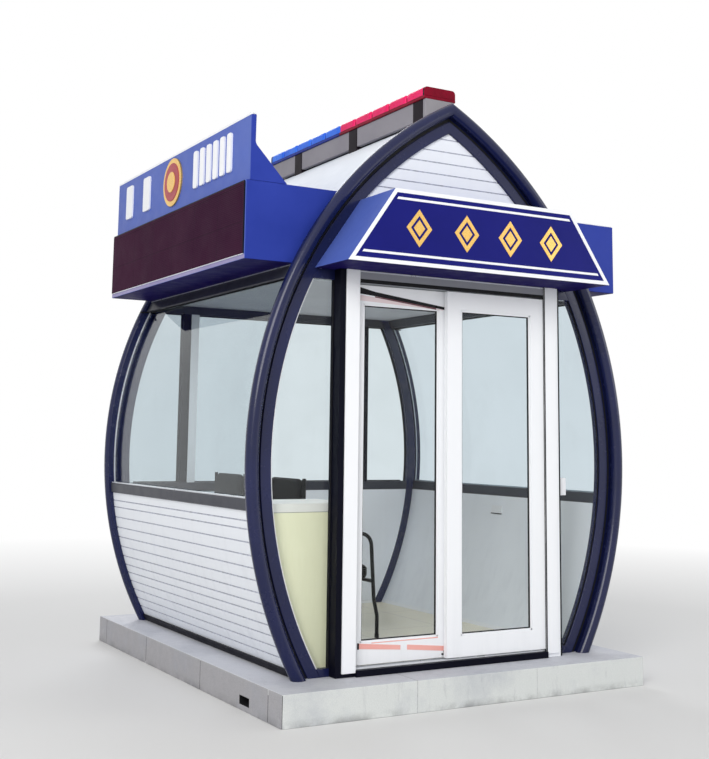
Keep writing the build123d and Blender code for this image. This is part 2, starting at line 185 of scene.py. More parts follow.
def painted(name, colour, shade, rough=(0.28, 0.42), gloss=0.25, coat=0.0, metal=0.0):
    """Sprayed or powder-coated metal: faint clouding, orange peel and fine scuffs."""
    s = Shader(name, gloss, Metallic=metal, Coat_Weight=coat, Coat_Roughness=0.06)
    base = s.mix(s.span(s.noise(2.3, 4, 0.6), 0.3, 0.7), rgb(*colour), rgb(*shade))
    lines = s.span(s.noise(26, 4, 0.75, s.stretched(1.0, 1.0, 7.0), 0.6), 0.70, 0.78)
    s.colour(s.stain(base, lines, 0.05, rgb(205, 208, 216)))
    s.rough(13, 4, *rough)
    s.bump(s.noise(380, 2), 0.00006)
    return s.material


def weathered(name, colour, dirt, streak=0.5, rough=(0.3, 0.46), low=0.1, high=0.9, gloss=0.35):
    """White coated panel: faint rain streaks, and a little dirt towards its foot."""
    s = Shader(name, gloss)
    runs = s.span(s.noise(6, 4, 0.55, s.stretched(3.0, 3.0, 0.3)), 0.5, 0.8)
    foot = s.span(s.axis("Z"), high, low)
    amount = s.math("MULTIPLY", s.math("ADD", s.math("MULTIPLY", foot, 0.7), 0.2), runs)
    specks = s.span(s.noise(120, 2), 0.70, 0.76)
    marks = s.math("ADD", s.math("MULTIPLY", amount, streak), s.math("MULTIPLY", specks, 0.10))
    s.colour(s.mix(marks, rgb(*colour), rgb(*dirt)))
    s.rough(15, 3, *rough)
    s.bump(s.noise(360, 2), 0.00005)
    return s.material


def toned(colour, share):
    """A colour made lighter or darker by a factor."""
    return tuple(share * c for c in colour[:3]) + (1.0,)


def clear_glass(name, tint, bend):
    """Glass that lets light into the room, faintly wavy, with a film of dust."""
    s = Shader(name, IOR=bend, Transmission_Weight=1.0)
    s.colour(s.mix(s.span(s.noise(3.2, 5, 0.65), 0.45, 0.8), tint, toned(tint, 0.96)))
    s.set("Roughness", s.span(s.noise(5, 4), 0.4, 0.75, 0.0, 0.008))
    s.bump(s.noise(2.2, 1), 0.0002)
    rays = s.node("ShaderNodeLightPath").outputs
    lighting = s.math("MAXIMUM", rays["Is Shadow Ray"], rays["Is Diffuse Ray"])
    s.blend(lighting, s.node("ShaderNodeBsdfTransparent", {"Color": (0.96, 0.97, 0.965, 1.0)}))
    return s.material


def stone_cladding():
    """Pale grey stone: fine grain, darker ends, water stains, and damp at its foot."""
    s = Shader("stone", 0.35)
    facing = s.node("ShaderNodeNewGeometry").outputs["Normal"]
    # Side faces take a darker grey and top faces a cooler grey by facing: partly the stone's finish, partly
    # painted shade
    sides = s.span(s.math("ABSOLUTE", s.axis("X", facing)), 0.5, 0.9)
    facing_up = s.span(s.axis("Z", facing), 0.5, 0.9)
    grain = s.span(s.noise(230, 3, 0.7))
    face = s.mix(grain, rgb(206, 210, 209), rgb(222, 225, 224))
    side = s.mix(grain, rgb(156, 155, 159), rgb(174, 173, 177))
    top = s.mix(grain, rgb(196, 198, 207), rgb(212, 214, 221))
    base = s.mix(facing_up, s.mix(sides, face, side), top)
    base = s.stain(base, s.span(s.noise(2.6, 6, 0.68), 0.5, 0.72), 0.45, rgb(158, 163, 176))
    streaks = s.noise(6, 6, 0.7, s.stretched(3.5, 3.5, 0.6), 0.3)
    base = s.stain(base, s.span(streaks, 0.58, 0.76), 0.35, rgb(128, 131, 142))
    base = s.stain(base, s.span(s.noise(5, 5, 0.7), 0.62, 0.78), 0.35, rgb(235, 236, 238))
    damp = s.math("MULTIPLY", s.span(s.axis("Z"), 0.04, 0.0), s.span(s.noise(9, 4), 0.4, 0.62))
    s.colour(s.stain(base, damp, 0.6, rgb(112, 114, 116)))
    s.rough(24, 4, 0.45, 0.75)
    s.bump(s.noise(120, 5, 0.7), 0.0005, 0.6)
    return s.material


def floor_tiles():
    """Cream glazed tiles with narrow joints."""
    s = Shader("cream_floor")
    inputs = {"Vector": s.place, "Color1": rgb(255, 247, 224), "Color2": rgb(255, 250, 230),
              "Mortar": rgb(214, 204, 192), "Scale": 1.0, "Mortar Size": 0.003, "Brick Width": 0.6,
              "Row Height": 0.6, "Mortar Smooth": 0.2}
    tiles = s.node("ShaderNodeTexBrick", inputs, offset=0.0).outputs
    speckle = s.span(s.noise(90, 3), 0.45, 0.7)
    s.colour(s.stain(tiles["Color"], speckle, 0.25, rgb(247, 236, 206)))
    s.rough(12, 3, 0.3, 0.42)
    s.bump(s.math("SUBTRACT", 1.0, tiles["Fac"]), 0.001)
    return s.material


def desk_board():
    """Laminated cream board with a very faint grain."""
    s = Shader("desk_board")
    grain = s.span(s.noise(14, 6, 0.6, s.stretched(8.0, 8.0, 0.8)), 0.35, 0.7)
    s.colour(s.stain(rgb(250, 248, 214), grain, 0.4, rgb(240, 238, 200)))
    s.rough(40, 2, 0.38, 0.5)
    s.bump(grain, 0.0001)
    return s.material


def led_screen():
    """Dark maroon display face, switched off: lamp dots on square modules."""
    s = Shader("screen_face", 0.02)
    across, up = s.axis("Y"), s.axis("Z")

    def off_middle(value, pitch):
        """Distance from the middle of a cell, as a share of its pitch."""
        return s.math("ABSOLUTE", s.math("SUBTRACT", s.math("FRACT", s.math("DIVIDE", value, pitch)), 0.5))
    gap = s.math("ADD", *(s.math("POWER", off_middle(way, 0.010), 2.0) for way in (across, up)))
    dot = s.span(gap, 0.06, 0.035)
    upright = s.span(off_middle(across, 0.32), 0.492, 0.497)
    seam = s.math("MAXIMUM", upright, s.span(off_middle(up, 0.182), 0.49, 0.495))
    face = s.mix(s.span(s.noise(1.8, 3)), rgb(52, 23, 46), rgb(60, 28, 51))
    face = s.stain(face, dot, 0.7, rgb(74, 36, 62))
    s.colour(s.stain(face, seam, 0.6, rgb(26, 18, 30)))
    s.rough(6, 3, 0.5, 0.65)
    s.bump(s.math("SUBTRACT", dot, seam), 0.0006)
    return s.material


def lamp_lens(name, colour, deep):
    """Tinted moulded lens, deeper in places, with a smooth skin."""
    s = Shader(name, 0.12)
    s.colour(s.mix(s.span(s.noise(7, 3)), rgb(*colour), rgb(*deep)))
    s.rough(30, 2, 0.26, 0.38)
    s.bump(s.noise(90, 2), 0.0001)
    return s.material


def gold_leaf():
    """Bright gold-coloured metal with fine brushing."""
    s = Shader("gold_trim", Metallic=0.85)
    brush = s.noise(60, 3, 0.6, s.stretched(1.0, 1.0, 12.0))
    s.colour(s.mix(s.span(brush), rgb(250, 214, 128), rgb(222, 168, 84)))
    s.set("Roughness", s.span(brush, 0.3, 0.7, 0.22, 0.38))
    s.bump(brush, 0.0001)
    return s.material


def rubber(name, colour):
    """Matt rubber or sealant."""
    s = Shader(name, 0.3)
    s.colour(s.mix(s.span(s.noise(55, 3)), rgb(*colour), toned(rgb(*colour), 1.5)))
    s.rough(25, 3, 0.6, 0.8)
    s.bump(s.noise(300, 2), 0.0001)
    return s.material


def woven_fabric():
    """Black woven upholstery."""
    s = Shader("chair_fabric", 0.15, Sheen_Weight=0.08, Sheen_Roughness=0.5)
    inputs = {"Vector": s.place, "Scale": 150.0}
    threads = [s.node("ShaderNodeTexWave", inputs, bands_direction=way) for way in ("Y", "DIAGONAL")]
    weave = s.math("MULTIPLY", *(thread.outputs["Fac"] for thread in threads))
    base = s.mix(weave, rgb(8, 8, 10), rgb(24, 25, 28))
    s.colour(s.mix(s.span(s.noise(7, 4), 0.4, 0.75), base, rgb(18, 19, 22)))
    s.rough(50, 2, 0.75, 0.92)
    s.bump(weave, 0.0006)
    return s.material


NAVY = painted("navy_paint", (25, 31, 74), (20, 26, 62), (0.2, 0.3), 0.25, 0.25)
DARK_NAVY = painted("navy_dark", (13, 14, 28), (10, 11, 24), (0.34, 0.46), 0.07)
# Deeper navy for the undersides of the sign boxes: painted shade
SIGN_PAINTED_SHADE = painted("navy_painted_shade", (33, 25, 96), (27, 21, 84), (0.45, 0.6), 0.03)
SLATE = painted("slate_paint", (60, 62, 72), (52, 54, 64), (0.3, 0.42), 0.2)
GREY = painted("grey_paint", (152, 154, 161), (141, 143, 151), (0.34, 0.48), 0.3)
PANEL_GREY = painted("panel_grey", (158, 155, 160), (144, 141, 147), (0.5, 0.65), 0.1)
BRACKET = painted("bracket_black", (30, 22, 30), (24, 18, 25), (0.4, 0.5), 0.1)
TRIM = painted("aluminium_trim", (222, 226, 232), (206, 210, 217), (0.26, 0.36), 0.4, 0.0, 0.35)
SIGN_BLUE = painted("sign_blue", (48, 66, 162), (40, 58, 150), (0.34, 0.46), 0.1)
# Lighter copy of the sign blue for side faces: painted light
SIGN_PAINTED_LIGHT = painted("sign_blue_painted_light", (85, 107, 188), (77, 98, 180), (0.34, 0.46), 0.12)
SIGN_FACE = painted("sign_face", (27, 30, 120), (23, 26, 108), (0.3, 0.4), 0.08)
LIP = painted("sign_lip", (160, 154, 196), (140, 134, 180), (0.4, 0.5), 0.15)
WHITE = weathered("white_paint", (245, 247, 251), (214, 217, 222), 0.25, (0.3, 0.42))
BOARDS = weathered("white_boards", (240, 244, 251), (198, 203, 214), 0.35)
ROOF_WHITE = weathered("white_roof", (234, 240, 248), (200, 206, 214), 0.4, (0.5, 0.65), 2.2, 3.1, 0.1)
JOINT = rubber("joint_grey", (176, 179, 190))
RUBBER = rubber("black_rubber", (14, 14, 18))
SIDE_GLASS = clear_glass("side_glass", (0.67, 0.74, 0.78, 1.0), 1.22)
REAR_GLASS = clear_glass("rear_glass", (0.74, 0.80, 0.82, 1.0), 1.25)
DOOR_GLASS = clear_glass("door_glass", (0.91, 0.945, 0.96, 1.0), 1.22)
STONE = stone_cladding()
STONE_JOINT = rubber("stone_joint", (196, 197, 200))
TILES = floor_tiles()
DESK = desk_board()
DESK_TOP = painted("desk_top", (244, 242, 236), (236, 234, 228), (0.36, 0.48))
SCREEN = led_screen()
RED_LENS = lamp_lens("red_lens", (248, 46, 116), (234, 30, 96))
# Deep red: partly the lens's deeper red, partly painted shade on the front end and along the foot of the
# blocks
RED_LENS_SHADE = lamp_lens("red_lens_painted_shade", (138, 0, 38), (116, 0, 30))
# Deep blue: partly the lens's deeper blue, partly painted shade along the foot of the blocks
BLUE_LENS_SHADE = lamp_lens("blue_lens_painted_shade", (26, 52, 150), (20, 42, 130))
BLUE_LENS = lamp_lens("blue_lens", (66, 130, 246), (50, 108, 232))
GOLD = gold_leaf()
BOSS_RED = painted("boss_red", (176, 74, 82), (150, 56, 66), (0.35, 0.5))
FABRIC = woven_fabric()
TUBE = painted("chair_tube", (12, 12, 14), (9, 9, 11), (0.3, 0.4), 0.2)
PINK_FILM = painted("film_pink", (246, 184, 176), (240, 168, 160), (0.4, 0.5), 0.2)
PALE_FILM = painted("film_pale", (238, 224, 226), (230, 212, 215), (0.4, 0.5), 0.2)
RED_FILM = painted("film_dark_red", (132, 96, 102), (104, 66, 74), (0.4, 0.5), 0.2)
PLASTIC = painted("white_plastic", (240, 242, 246), (230, 232, 237), (0.32, 0.42), 0.4)
# White ceiling greyed down: painted shade inside the booth
CEILING_PAINTED_SHADE = painted("ceiling_white_painted_shade", (206, 209, 216), (196, 199, 207), (0.45, 0.6), 0.15)


def settle(obj):
    """Applies an object's modifiers to its mesh."""
    graph = bpy.context.evaluated_depsgraph_get()
    graph.update()
    mesh = bpy.data.meshes.new_from_object(obj.evaluated_get(graph))
    obj.modifiers.clear()
    obj.data = mesh


def added(name, data):
    """A new object in the scene."""
    made = bpy.data.objects.new(name, data)
    scene.collection.objects.link(made)
    return made


def ordered(middle, sign, *offsets):
    """Places at offsets from a middle, on the side of the sign, in rising order."""
    return sorted(middle + sign * offset for offset in offsets)


def around(count):
    """Angles that share out a full turn."""
    return [2 * math.pi * k / count for k in range(count)]


def spot(axis, along, pair):
    """Point from its place along a numbered axis and its two numbers on the others."""
    point = list(pair)
    point.insert(axis, along)
    return point


class Form:
    """One piece's mesh, gathered from boxes, sections and sweeps."""

    def __init__(self, name, *materials):
        self.name = name
        self.materials = materials
        self.mesh = bmesh.new()

    def paint(self, faces, material):
        for face in faces:
            face.material_index = material

    def box(self, corner, far_corner, bevel=0.0, material=0, steps=2):
        low = Vector(map(min, corner, far_corner))
        high = Vector(map(max, corner, far_corner))
        place = Matrix.Translation((low + high) / 2) @ Matrix.Diagonal((high - low).to_4d())
        before = set(self.mesh.faces)
        made = bmesh.ops.create_cube(self.mesh, size=1.0, matrix=place)
        if bevel:
            self.soften({edge for vertex in made["verts"] for edge in vertex.link_edges}, bevel, steps)
        self.paint(set(self.mesh.faces) - before, material)

    def soften(self, edges, size, steps=2):
        """Rounds these edges."""
        bmesh.ops.bevel(self.mesh, geom=list(edges), offset=size, segments=steps, profile=0.5,
                        affect="EDGES", clamp_overlap=True)

    def rings(self, rings, material=0, stripes=()):
        """Skin over equal closed sections, capped. stripes numbers the faces with the second material."""
        rows = [[self.mesh.verts.new(point) for point in ring] for ring in rings]
        turns = [(i - 1, i) for i in range(1, len(rows[0]))] + [(-1, 0)]
        faces = [self.mesh.faces.new((near[i], near[j], far[j], far[i]))
                 for near, far in zip(rows, rows[1:]) for i, j in turns]
        faces += [self.mesh.faces.new(rows[0][::-1]), self.mesh.faces.new(rows[-1])]
        for number, face in enumerate(faces):
            face.material_index = 1 if number in stripes else material

    def section(self, outline, axis, start, stop, material=0, stripes=()):
        """Straight extrusion of an outline along x, y or z. The outline's two numbers are the other axes."""
        rings = [[spot("xyz".index(axis), along, pair) for pair in outline] for along in (start, stop)]
        self.rings(rings, material, stripes)

    def ogive(self, profile, material=0, steps=56, foot=0.0):
        """Section of (offset, y) points carried up one side of the arch and down the other."""
        def ring(share, side):
            points = []
            for offset, y in profile:
                radius = RADIUS + offset
                start = math.asin((foot - WIDEST_RISE) / radius)
                angle = start + (math.acos(CENTRE_X / radius) - start) * share
                points.append((side * (radius * math.cos(angle) - CENTRE_X), y,
                               PLINTH_TOP + WIDEST_RISE + radius * math.sin(angle)))
            return points
        path = [ring(i / steps, 1) for i in range(steps + 1)]
        path += [ring(i / steps, -1) for i in reversed(range(steps))]
        self.rings(path, material)

    def tube(self, path, radius, sides=14, material=0):
        """Round tube along points, with each ring square to the path."""
        points = [Vector(p) for p in path]
        rings = []
        side = None
        for i, point in enumerate(points):
            ahead = (points[min(i + 1, len(points) - 1)] - points[max(i - 1, 0)]).normalized()
            side = side or ahead.orthogonal()
            side = (side - ahead * side.dot(ahead)).normalized()
            up = ahead.cross(side)
            rings.append([point + radius * (math.cos(a) * side + math.sin(a) * up) for a in around(sides)])
        self.rings(rings, material)

    def copy_node(self, node, bevel):
        """The solid of a node with its flat faces joined and its edges rounded."""
        self.mesh.from_mesh(nodes[node].data)
        bmesh.ops.remove_doubles(self.mesh, verts=self.mesh.verts, dist=0.00002)
        bmesh.ops.dissolve_limit(self.mesh, angle_limit=math.radians(0.5), use_dissolve_boundaries=False,
                                 verts=self.mesh.verts, edges=self.mesh.edges)
        self.soften([edge for edge in self.mesh.edges if len(edge.link_faces) == 2
                     and edge.calc_face_angle(0.0) > math.radians(30)], bevel)
        self.paint(self.mesh.faces, 0)

    def cut(self, axis, at):
        """Splits the faces along a plane square to an axis."""
        normal = Vector([float(name == axis) for name in "xyz"])
        geom = self.mesh.verts[:] + self.mesh.edges[:] + self.mesh.faces[:]
        bmesh.ops.bisect_plane(self.mesh, geom=geom, dist=1e-6, plane_co=normal * at, plane_no=normal)

    def score(self, axis, at, width, depth, material=0, keep=lambda centre, normal: True):
        """Sinks a narrow joint, square to an axis, in the faces that a rule keeps."""
        index = "xyz".index(axis)
        for edge in (at - width / 2, at + width / 2):
            self.cut(axis, edge)
        self.mesh.normal_update()
        band = []
        for face in self.mesh.faces:
            centre = face.calc_center_median()
            beside = abs(centre[index] - at) < width / 2 and abs(face.normal[index]) < 0.5
            if beside and keep(centre, face.normal):
                band.append(face)
        bmesh.ops.inset_region(self.mesh, faces=band, thickness=width * 0.2, depth=-depth,
                               use_even_offset=True)
        self.paint(band, material)

    def repaint(self, choose):
        """A rule picks the material of each face that still has the first one."""
        bmesh.ops.recalc_face_normals(self.mesh, faces=self.mesh.faces)
        for face in self.mesh.faces:
            if not face.material_index:
                face.material_index = int(choose(face.calc_center_median(), face.normal))

    def baked(self):
        """The finished mesh, with its materials and with smooth faces that look outwards."""
        bmesh.ops.recalc_face_normals(self.mesh, faces=self.mesh.faces)
        data = bpy.data.meshes.new(self.name)
        self.mesh.to_mesh(data)
        self.mesh.free()
        for material in self.materials:
            data.materials.append(material)
        data.shade_smooth()
        return data

    def done(self, slot, *replaced, body="booth", smooth=32):
        """The piece itself, which stands in for the nodes that it replaces."""
        data = self.baked()
        data.set_sharp_from_angle(angle=math.radians(smooth))
        piece = added(self.name, data)
        piece.modifiers.new("flat_faces", "WEIGHTED_NORMAL").keep_sharp = True
        settle(piece)
        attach(piece, body)
        if replaced:
            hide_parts(*replaced)


def rounded(low, high, radius, steps=4):
    """Outline of a rectangle with rounded corners, between two corners."""
    left, right = low[0] + radius, high[0] - radius
    bottom, top = low[1] + radius, high[1] - radius
    points = []
    for quarter, (x, y) in enumerate(((right, top), (left, top), (left, bottom), (right, bottom))):
        for i in range(steps + 1):
            angle = math.radians(90 * quarter + 90 * i / steps)
            points.append((x + radius * math.cos(angle), y + radius * math.sin(angle)))
    return points


def levels(low, high):
    """Levels from low to high, close enough for the curve."""
    count = max(1, math.ceil((high - low) / CURVE_STEP))
    return [low + (high - low) * i / count for i in range(count)] + [high]


def grooved(low, high, seams):
    """(level, depth, is groove) up a boarded face, with a narrow groove at each seam."""
    rows = []
    start = low
    for seam in seams:
        rows += [(z, 0.0, False) for z in levels(start, seam - GROOVE_HALF)]
        foot = seam - GROOVE_HALF
        floor = (foot + GROOVE_SLOPE, foot + 2 * GROOVE_HALF - GROOVE_SLOPE)
        rows += [(z, GROOVE_DEPTH, True) for z in floor]
        start = seam + GROOVE_HALF
    return rows + [(z, 0.0, False) for z in levels(start, high)]


def joints(rows):
    """Numbers of the faces between rows that belong to a groove."""
    return [i for i in range(len(rows) - 1) if rows[i][2] or rows[i + 1][2]]


def arch(node, plane_y, inward):
    """One arch: band, flange with a black rubber line in its groove, partly painted shade, and the round bent
    pipe.
    """
    form = Form(node + "_frame", NAVY, RUBBER)
    near, far = ordered(plane_y, inward, 0.010, BAND_DEPTH)
    form.ogive(rounded((BAND_INNER, near), (BAND_OUTER, far), 0.003, 3))
    near, far = ordered(plane_y, inward, FACE_SET, SHELL_SET)
    form.ogive(rounded((BAND_OUTER - 0.001, near), (0.060, far), 0.001, 2))
    pipe_y = plane_y - inward * PIPE_PROUD
    form.ogive([(PIPE_OFFSET + PIPE_RADIUS * math.cos(a), pipe_y + PIPE_RADIUS * math.sin(a))
                for a in around(32)], steps=72)
    # Black line in the groove between band and pipe: partly a gasket, partly painted shade in the groove
    near, far = ordered(plane_y, inward, 0.0175, 0.0225)
    form.ogive([(-0.010, near), (0.004, near), (0.004, far), (-0.010, far)], material=1)
    form.done("navy_paint", node)


def strip(form, side, low, high, outer, inner, ends=(SHELL_FRONT, SHELL_REAR), material=0, seams=(),
          edge=0.0):
    """Curved strip along a side, its face grooved at the seams or its outer edges softened."""
    rows = grooved(low, high, seams)
    outside = []
    for z, depth, groove in rows:
        cut = edge if z in (low, high) else 0.0
        outside.append((side * arc_x(outer - depth - cut, z), PLINTH_TOP + z))
    inside = [(side * arc_x(inner, z), PLINTH_TOP + z) for z in reversed(levels(low, high))]
    if edge:
        for place, z in ((1, low + edge), (-1, high - edge)):
            outside.insert(place, (side * arc_x(outer, z), PLINTH_TOP + z))
    form.section(outside + inside, "y", *ends, material, joints(rows))


def side_shell():
    """Boarded side walls, curved rails and the curved glass, on both sides."""
    for name, side in (("left_wall", -1), ("right_wall", 1)):
        form = Form(name + "_boards", BOARDS, JOINT)
        strip(form, side, BOTTOM_RAIL, SILL_RISE, WALL_OUTER, BAND_OUTER, seams=SIDE_SEAMS)
        form.done("white_paint", name)
    rails = (("side_bottom_rails", 0.0, BOTTOM_RAIL, 0.012, DARK_NAVY, "navy_paint"),
             ("side_sill_rails", SILL_RISE, SILL_TOP, 0.012, SLATE, "slate_paint"),
             ("side_head_rails", HEAD_RISE, BOX_RISE, 0.009, SLATE, "slate_paint"))
    for name, low, high, proud, material, slot in rails:
        form = Form(name + "_curved", material, WHITE)
        for side in (-1, 1):
            strip(form, side, low, high, WALL_OUTER + proud, BAND_OUTER, edge=0.004)
        if low == 0.0:
            form.repaint(lambda centre, normal: normal.x * centre.x < -0.5 * abs(centre.x))
        form.done(slot, name)
    glass = Form("side_glass_curved", SIDE_GLASS)
    beads = Form("side_glass_beads", RUBBER, TRIM)
    for side in (-1, 1):
        strip(glass, side, SILL_TOP, HEAD_RISE, 0.020, 0.012)
        for ends in ((SHELL_FRONT, SHELL_FRONT + 0.010), (SHELL_REAR - 0.010, SHELL_REAR)):
            strip(beads, side, SILL_TOP, HEAD_RISE, 0.026, 0.020, ends, 1)
        strip(beads, side, HEAD_RISE - BEAD, HEAD_RISE, 0.025, 0.020)
        # Pale bead along the sill: partly a glazing bead, partly a painted highlight on the sill's top edge
        strip(beads, side, SILL_TOP, SILL_TOP + BEAD, 0.040, 0.020, material=1)
        strip(beads, side, BOX_RISE - BEAD, BOX_RISE - 0.001, 0.048, 0.041, material=1)
    glass.done("glass", "side_glass")
    beads.done("aluminium_trim")


def flat_boards(node, low, high, seams, plane_y, inward):
    """Boarded panel inside an arch, its edge on the band and its grooved face outwards."""
    form = Form(node + "_boards", BOARDS, JOINT)
    rows = grooved(low, high, seams)
    y_back = plane_y + inward * BAND_DEPTH
    sections = []
    for z, depth, groove in rows:
        half = max(arc_x(BAND_INNER, z), 0.001)
        y_face = plane_y + inward * FACE_SET + inward * depth
        outline = ((-half, y_face), (half, y_face), (half, y_back), (-half, y_back))
        sections.append([(x, y, PLINTH_TOP + z) for x, y in outline])
    form.rings(sections, stripes=[4 * i for i in joints(rows)])
    form.done("white_paint", node)


def dressed(node, materials, slot, bevel=0.003, body="booth", choose=None, scores=(), cuts=()):
    """A node's solid with rounded edges, scored joints and lines where the paint changes."""
    form = Form(node + "_dressed", *materials)
    form.copy_node(node, bevel)
    for axis, at in cuts:
        form.cut(axis, at)
    for score in scores:
        form.score(*score)
    if choose:
        form.repaint(choose)
    form.done(slot, node, body=body)


def finish_node(node, material):
    """A node whose shape stays, with its own material."""
    nodes[node].data.materials.clear()
    nodes[node].data.materials.append(material)


def roof_skin():
    """Both smooth roof slopes."""
    form = Form("roof_skin", ROOF_WHITE)
    form.ogive([(ROOF_THICK, SHELL_FRONT), (ROOF_THICK, SHELL_REAR), (0.0, SHELL_REAR), (0.0, SHELL_FRONT)],
               steps=40, foot=BOX_RISE)
    form.done("white_paint", "roof")


STONE_JOINTS_Y = (-1.1305, -0.32, 0.49, 1.2105)
STONE_JOINTS_X = (-0.365, 0.365)
STONE_GAP = 0.004


def plinth_stone():
    """Stone slabs on the plinth, with pale joints between them and the drain hole, painted black inside as
    painted shade.
    """
    form = Form("plinth_stone", STONE, STONE_JOINT, RUBBER)
    form.copy_node("plinth", 0.004)
    for y in STONE_JOINTS_Y:
        form.score("y", y, STONE_GAP, STONE_GAP / 2, 1,
                   lambda centre, normal: abs(normal.x) > 0.3 and abs(centre.x) > 1.0)
    for x in STONE_JOINTS_X:
        form.score("x", x, STONE_GAP, STONE_GAP / 2, 1,
                   lambda centre, normal: abs(normal.y) > 0.3 or normal.z > 0.3)
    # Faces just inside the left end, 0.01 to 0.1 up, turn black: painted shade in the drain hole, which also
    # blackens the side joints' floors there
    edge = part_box("plinth")[0].x
    for face in form.mesh.faces:
        centre = face.calc_center_median()
        if edge + 0.001 < centre.x < edge + 0.2 and 0.01 < centre.z < 0.1:
            face.material_index = 2
    form.done("stone", "plinth")


def leaf(hand):
    """White sliding leaf: stiles and rails, with a bead and a rubber line round the glass."""
    node, pane = hand + "_door_frame", hand + "_door_glass"
    dressed(node, (WHITE,), "aluminium_trim", 0.0025, hand + "_leaf")
    low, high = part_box(pane)
    form = Form(node + "_bead", RUBBER, WHITE)
    middle = (low.y + high.y) / 2
    for bead, depth, material in ((0.010, 0.011, 1), (0.015, 0.006, 0)):
        for x_low, x_high, z_low, z_high in (
                (low.x, low.x + bead, low.z, high.z), (high.x - bead, high.x, low.z, high.z),
                (low.x, high.x, low.z, low.z + bead), (low.x, high.x, high.z - bead, high.z)):
            form.box((x_low, middle - depth, z_low), (x_high, middle + depth, z_high), 0.0015, material, 1)
    form.done("aluminium_trim", body=hand + "_leaf")
    finish_node(pane, DOOR_GLASS)


# Left end (x, rise), right end, height at each end, material, and how far it stands out
FILM_STRIPS = (
    ((-0.556, 0.136), (-0.310, 0.114), 0.026, 0.022, 0, 0.0012),
    ((-0.270, 0.112), (-0.030, 0.088), 0.024, 0.024, 0, 0.0012),
    ((-0.562, 0.136), (-0.552, 0.135), 0.030, 0.030, 2, 0.0016),
    ((-0.480, 0.147), (-0.082, 0.147), 0.004, 0.005, 0, 0.0012),
    ((-0.590, 1.872), (-0.055, 1.839), 0.030, 0.004, 3, 0.0008),
    ((-0.590, 1.911), (-0.480, 1.895), 0.036, 0.022, 2, 0.0016),
    ((-0.480, 1.895), (-0.030, 1.846), 0.022, 0.014, 2, 0.0016),
    ((-0.480, 1.880), (-0.100, 1.844), 0.006, 0.012, 1, 0.0012),
    ((-0.060, 0.062), (-0.030, 0.060), 0.008, 0.008, 2, 0.004),
    ((-0.049, 0.072), (-0.043, 0.072), 0.016, 0.016, 2, 0.004))


def leaf_film():
    """Thin strips on the left leaf: pink, pale and dark red ones as torn protective film, black ones copying
    dark lines, and its small black latch.
    """
    face_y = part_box("left_door_frame")[0].y
    form = Form("left_leaf_film", PINK_FILM, RED_FILM, RUBBER, PALE_FILM)
    for left, right, high_left, high_right, material, lift in FILM_STRIPS:
        a, b = PLINTH_TOP + left[1], PLINTH_TOP + right[1]
        outline = [(left[0], a - high_left / 2), (right[0], b - high_right / 2),
                   (right[0], b + high_right / 2), (left[0], a + high_left / 2)]
        form.section(outline, "y", face_y - lift, face_y + 0.0005, material)
    form.done("white_plastic", body="left_leaf")


def lozenge(form, x, z, wide, high, y_low, y_high, hole=0.0):
    """Upright lozenge in relief, or a lozenge frame where hole is its open share."""
    spots = [(x + wide * math.cos(a), z + high * math.sin(a)) for a in around(4)]
    if not hole:
        form.section(spots, "y", y_low, y_high)
        return
    inner = [(x + hole * (px - x), z + hole * (pz - z)) for px, pz in spots]
    for k in range(4):
        form.section([spots[k - 1], spots[k], inner[k], inner[k - 1]], "y", y_low, y_high)


def front_sign():
    """Trapezoid sign box with its white border, two thin inner lines and four gold lozenges."""
    # Side returns take the lighter blue as painted light, the underside the deeper navy as painted shade
    dressed("front_sign", (SIGN_BLUE, SIGN_PAINTED_LIGHT, SIGN_PAINTED_SHADE), "sign_blue", 0.004,
            choose=lambda centre, normal: 1 if abs(normal.x) > 0.6 else 2 * (normal.z < -0.6))
    low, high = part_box("front_sign_border")
    face_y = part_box("front_sign")[0].y
    slope = (0.560 - high.x) / (high.z - low.z)

    def slab(form, z_low, z_high, inset, y_low, y_high):
        a, b = (high.x + slope * (z - low.z) - inset for z in (z_low, z_high))
        form.section([(-a, z_low), (a, z_low), (b, z_high), (-b, z_high)], "y", y_low, y_high)
    panel = Form("front_sign_face", SIGN_FACE)
    slab(panel, low.z + 0.006, high.z - 0.006, 0.006, face_y - 0.0008, face_y + 0.002)
    panel.done("sign_blue")
    dressed("front_sign_border", (WHITE,), "white_paint", 0.0008)
    lines = Form("front_sign_lines", WHITE)
    for z in (PLINTH_TOP + 2.339, PLINTH_TOP + 2.058):
        slab(lines, z - 0.006, z + 0.006, 0.045, face_y - 0.0025, face_y)
    lines.done("white_paint")
    gold = Form("front_sign_lozenges", GOLD)
    for x in (-0.420, -0.130, 0.147, 0.418):
        lozenge(gold, x, PLINTH_TOP + 2.197, 0.076, 0.096, face_y - 0.0026, face_y, 0.66)
        lozenge(gold, x, PLINTH_TOP + 2.197, 0.034, 0.043, face_y - 0.0028, face_y)
    gold.done("aluminium_trim")


BOARD_X = -1.178
BOARD_BARS = [(0.8215, 0.110), (0.5125, 0.110)] + [(-0.2650 - 0.0912 * k, 0.056) for k in range(6)]
BAR_Z = PLINTH_TOP + 2.612
BAR_HALF = 0.104
BOSS_Y = 0.083
BOSS_Z = PLINTH_TOP + 2.605
BOSS_DISCS = ((0.140, 0.0, 0.012, 2), (0.112, 0.010, 0.0155, 3), (0.060, 0.014, 0.0195, 2))


